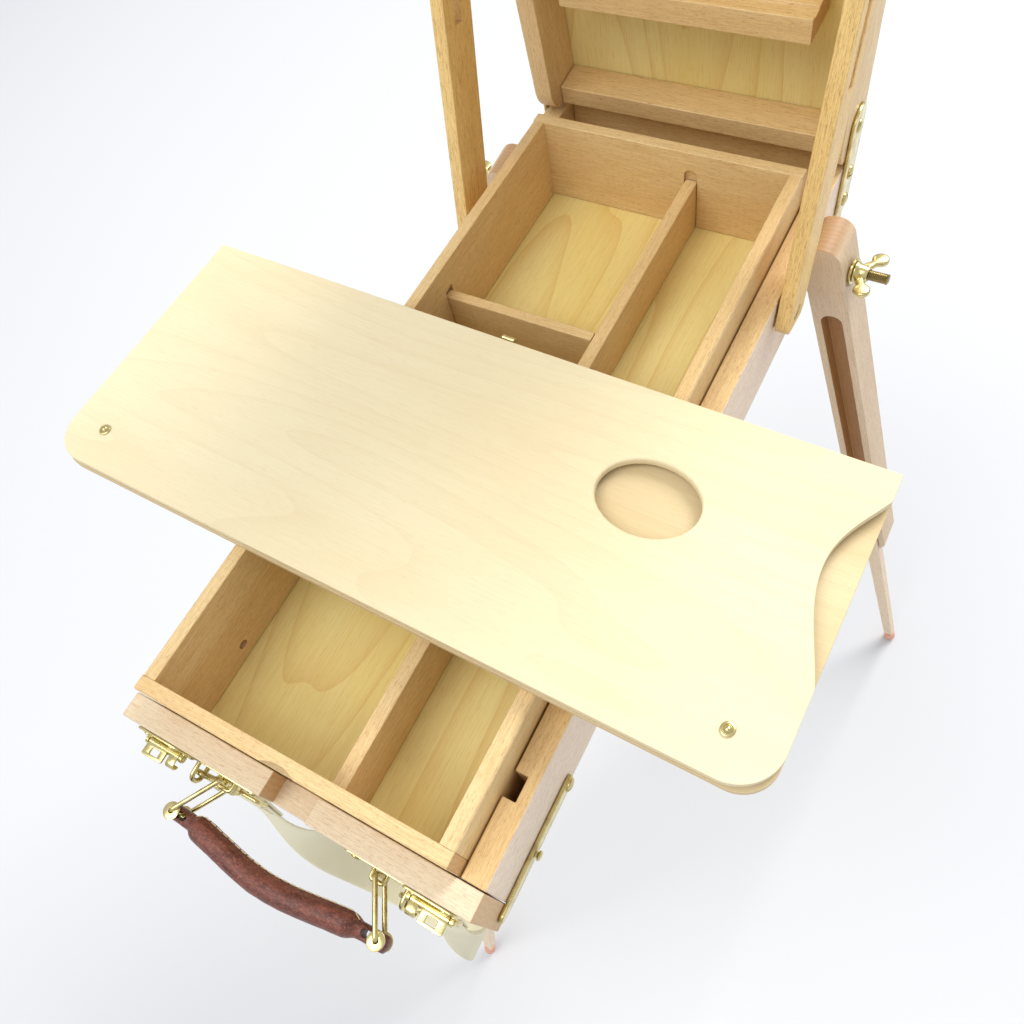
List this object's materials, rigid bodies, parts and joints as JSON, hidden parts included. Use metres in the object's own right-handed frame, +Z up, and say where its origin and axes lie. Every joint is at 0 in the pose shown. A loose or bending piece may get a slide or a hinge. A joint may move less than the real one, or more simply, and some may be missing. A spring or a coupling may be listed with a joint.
{
  "type": "half-box sketch easel",
  "caption": "Wooden sketch-box easel on three folding telescopic legs, with a drawer, folding palette, raised lid with a mast, brass hardware, leather handle and strap.",
  "frame": {"origin": "middle of the base of the easel standing open, on the floor", "axes": "+X to the right of the painter, +Y away from the painter, +Z up"},
  "size_m": [0.496, 0.5092, 1.1106],
  "materials": {
    "beech": "satin oiled beech",
    "beech_pale": "matt unfinished beech",
    "plywood": "satin varnished plywood",
    "birch_ply": "smooth lacquered birch plywood",
    "brass": "bright brass plating",
    "leather": "mottled reddish brown leather",
    "webbing": "cream woven webbing",
    "rubber": "matt orange pink rubber"
  },
  "bodies": {
    "box": {"box_side_left": "beech", "box_side_right": "beech", "box_back": "beech", "box_bottom": "plywood", "hinge_plate_left": "brass", "hinge_plate_right": "brass", "leg_bolt_left": "brass", "leg_bolt_right": "brass", "strut_pin_left": "brass", "strut_pin_right": "brass", "third_leg_block": "beech_pale", "third_leg_bolt": "brass"},
    "drawer_hook": {"drawer_hook": "brass"},
    "drawer": {"drawer_side_left": "beech", "drawer_side_right": "beech", "drawer_front_wall": "beech", "drawer_back_wall": "beech", "drawer_floor": "plywood", "divider_long": "beech", "divider_cross": "beech", "front_panel": "beech", "catch_base_left": "brass", "catch_base_right": "brass", "handle_plate_left": "brass", "handle_plate_right": "brass", "snap_hook_left": "brass", "snap_hook_right": "brass", "strap": "webbing"},
    "handle_grip": {"handle_grip": "leather"},
    "palette": {"palette_lower_leaf": "birch_ply", "palette_hinge": "brass"},
    "palette_leaf": {"palette_upper_leaf": "birch_ply", "palette_stud_left": "brass", "palette_stud_right": "brass"},
    "lid": {"lid_side_left": "beech", "lid_side_right": "beech", "lid_top_rail": "beech", "lid_bottom_rail": "beech", "lid_panel": "plywood", "canvas_ledge": "beech", "mast_guide": "beech"},
    "mast": {"mast": "beech"},
    "top_clamp": {"top_clamp": "beech"},
    "handle_loop_left": {"handle_loop_left": "brass"},
    "catch_lever_left": {"catch_lever_left": "brass"},
    "strut_left": {"strut_left": "beech"},
    "wing_nut_left": {"wing_nut_left": "brass"},
    "handle_loop_right": {"handle_loop_right": "brass"},
    "catch_lever_right": {"catch_lever_right": "brass"},
    "strut_right": {"strut_right": "beech"},
    "wing_nut_right": {"wing_nut_right": "brass"},
    "upper_leg_left": {"leg_upper_left": "beech_pale"},
    "lower_leg_left": {"leg_lower_left": "beech_pale", "leg_tip_left": "rubber"},
    "upper_leg_right": {"leg_upper_right": "beech_pale"},
    "lower_leg_right": {"leg_lower_right": "beech_pale", "leg_tip_right": "rubber"},
    "upper_leg_front": {"leg_upper_front": "beech_pale"},
    "lower_leg_front": {"leg_lower_front": "beech_pale", "leg_tip_front": "rubber"}
  },
  "joints": [
    {"name": "drawer_slide", "type": "slide", "parent": "box", "child": "drawer", "axis": [0, -1, 0], "range_m": [0, 0.25]},
    {"name": "drawer_hook_turn", "type": "hinge", "parent": "box", "child": "drawer_hook", "pos_m": [0.0965, -0.14206, 0.53568], "axis": [-1, 0, 0], "range_deg": [0, 80]},
    {"name": "palette_slide", "type": "slide", "parent": "drawer", "child": "palette", "axis": [0, 1, 0], "range_m": [-0.07, 0.03]},
    {"name": "palette_fold", "type": "hinge", "parent": "palette", "child": "palette_leaf", "pos_m": [-0.01099, 0.02758, 0.61618], "axis": [-0.9998, 0.0209, 0], "range_deg": [0, 110]},
    {"name": "handle_pull", "type": "slide", "parent": "drawer", "child": "handle_grip", "axis": [0, -1, 0], "range_m": [0, 0.003]},
    {"name": "handle_loop_left_turn", "type": "hinge", "parent": "drawer", "child": "handle_loop_left", "pos_m": [-0.044, -0.21586, 0.55668], "axis": [0, 0, 1], "range_deg": [0, 16.1]},
    {"name": "handle_loop_right_turn", "type": "hinge", "parent": "drawer", "child": "handle_loop_right", "pos_m": [0.044, -0.21586, 0.55668], "axis": [0, 0, -1], "range_deg": [0, 16.1]},
    {"name": "catch_left_turn", "type": "hinge", "parent": "drawer", "child": "catch_lever_left", "pos_m": [-0.0745, -0.21626, 0.56968], "axis": [-1, 0, 0], "range_deg": [0, 75]},
    {"name": "catch_right_turn", "type": "hinge", "parent": "drawer", "child": "catch_lever_right", "pos_m": [0.0745, -0.21626, 0.56968], "axis": [-1, 0, 0], "range_deg": [0, 75]},
    {"name": "lid_fold", "type": "hinge", "parent": "box", "child": "lid", "pos_m": [0, 0.23494, 0.60668], "axis": [-1, 0, 0], "range_deg": [-57, 0]},
    {"name": "strut_left_turn", "type": "hinge", "parent": "box", "child": "strut_left", "pos_m": [-0.1002, 0.13094, 0.56868], "axis": [-1, 0, 0], "range_deg": [-55.4, 0]},
    {"name": "strut_right_turn", "type": "hinge", "parent": "box", "child": "strut_right", "pos_m": [0.1002, 0.13094, 0.56868], "axis": [-1, 0, 0], "range_deg": [-55.4, 0]},
    {"name": "mast_slide", "type": "slide", "parent": "lid", "child": "mast", "axis": [0, -0.0872, 0.9962], "range_m": [-0.025, 0.2]},
    {"name": "top_clamp_slide", "type": "slide", "parent": "mast", "child": "top_clamp", "axis": [0, -0.0872, 0.9962], "range_m": [-0.035, 0]},
    {"name": "wing_nut_left_slide", "type": "slide", "parent": "box", "child": "wing_nut_left", "axis": [-0.9868, -0.1194, 0.1094], "range_m": [0, 0.0096]},
    {"name": "leg_left_fold", "type": "hinge", "parent": "wing_nut_left", "child": "upper_leg_left", "pos_m": [-0.10725, 0.18494, 0.55268], "axis": [-0.9868, -0.1194, 0.1094], "range_deg": [0, 95.76]},
    {"name": "leg_left_slide", "type": "slide", "parent": "upper_leg_left", "child": "lower_leg_left", "axis": [-0.2385, 0.0846, -0.9674], "range_m": [-0.2, 0.03]},
    {"name": "wing_nut_right_slide", "type": "slide", "parent": "box", "child": "wing_nut_right", "axis": [0.9868, -0.1194, 0.1094], "range_m": [0, 0.0096]},
    {"name": "leg_right_fold", "type": "hinge", "parent": "wing_nut_right", "child": "upper_leg_right", "pos_m": [0.10725, 0.18494, 0.55268], "axis": [-0.9868, 0.1194, -0.1094], "range_deg": [0, 95.76]},
    {"name": "leg_right_slide", "type": "slide", "parent": "upper_leg_right", "child": "lower_leg_right", "axis": [0.2385, 0.0846, -0.9674], "range_m": [-0.2, 0.03]},
    {"name": "leg_front_fold", "type": "hinge", "parent": "box", "child": "upper_leg_front", "pos_m": [0, -0.10006, 0.50868], "axis": [1, 0, 0], "range_deg": [0, 105.5]},
    {"name": "leg_front_slide", "type": "slide", "parent": "upper_leg_front", "child": "lower_leg_front", "axis": [0, -0.2672, -0.9636], "range_m": [-0.2, 0.03]}
  ],
  "couplings": [
    {"joint": "strut_left_turn", "follows": "lid_fold", "ratio": 0.9699},
    {"joint": "strut_right_turn", "follows": "lid_fold", "ratio": 0.9699},
    {"joint": "handle_loop_left_turn", "follows": "handle_pull", "rad_per_m": 92.9},
    {"joint": "handle_loop_right_turn", "follows": "handle_pull", "rad_per_m": 92.9},
    {"joint": "wing_nut_left_slide", "follows": "leg_left_fold", "m_per_rad": 0.005684},
    {"joint": "wing_nut_right_slide", "follows": "leg_right_fold", "m_per_rad": 0.005684}
  ]
}
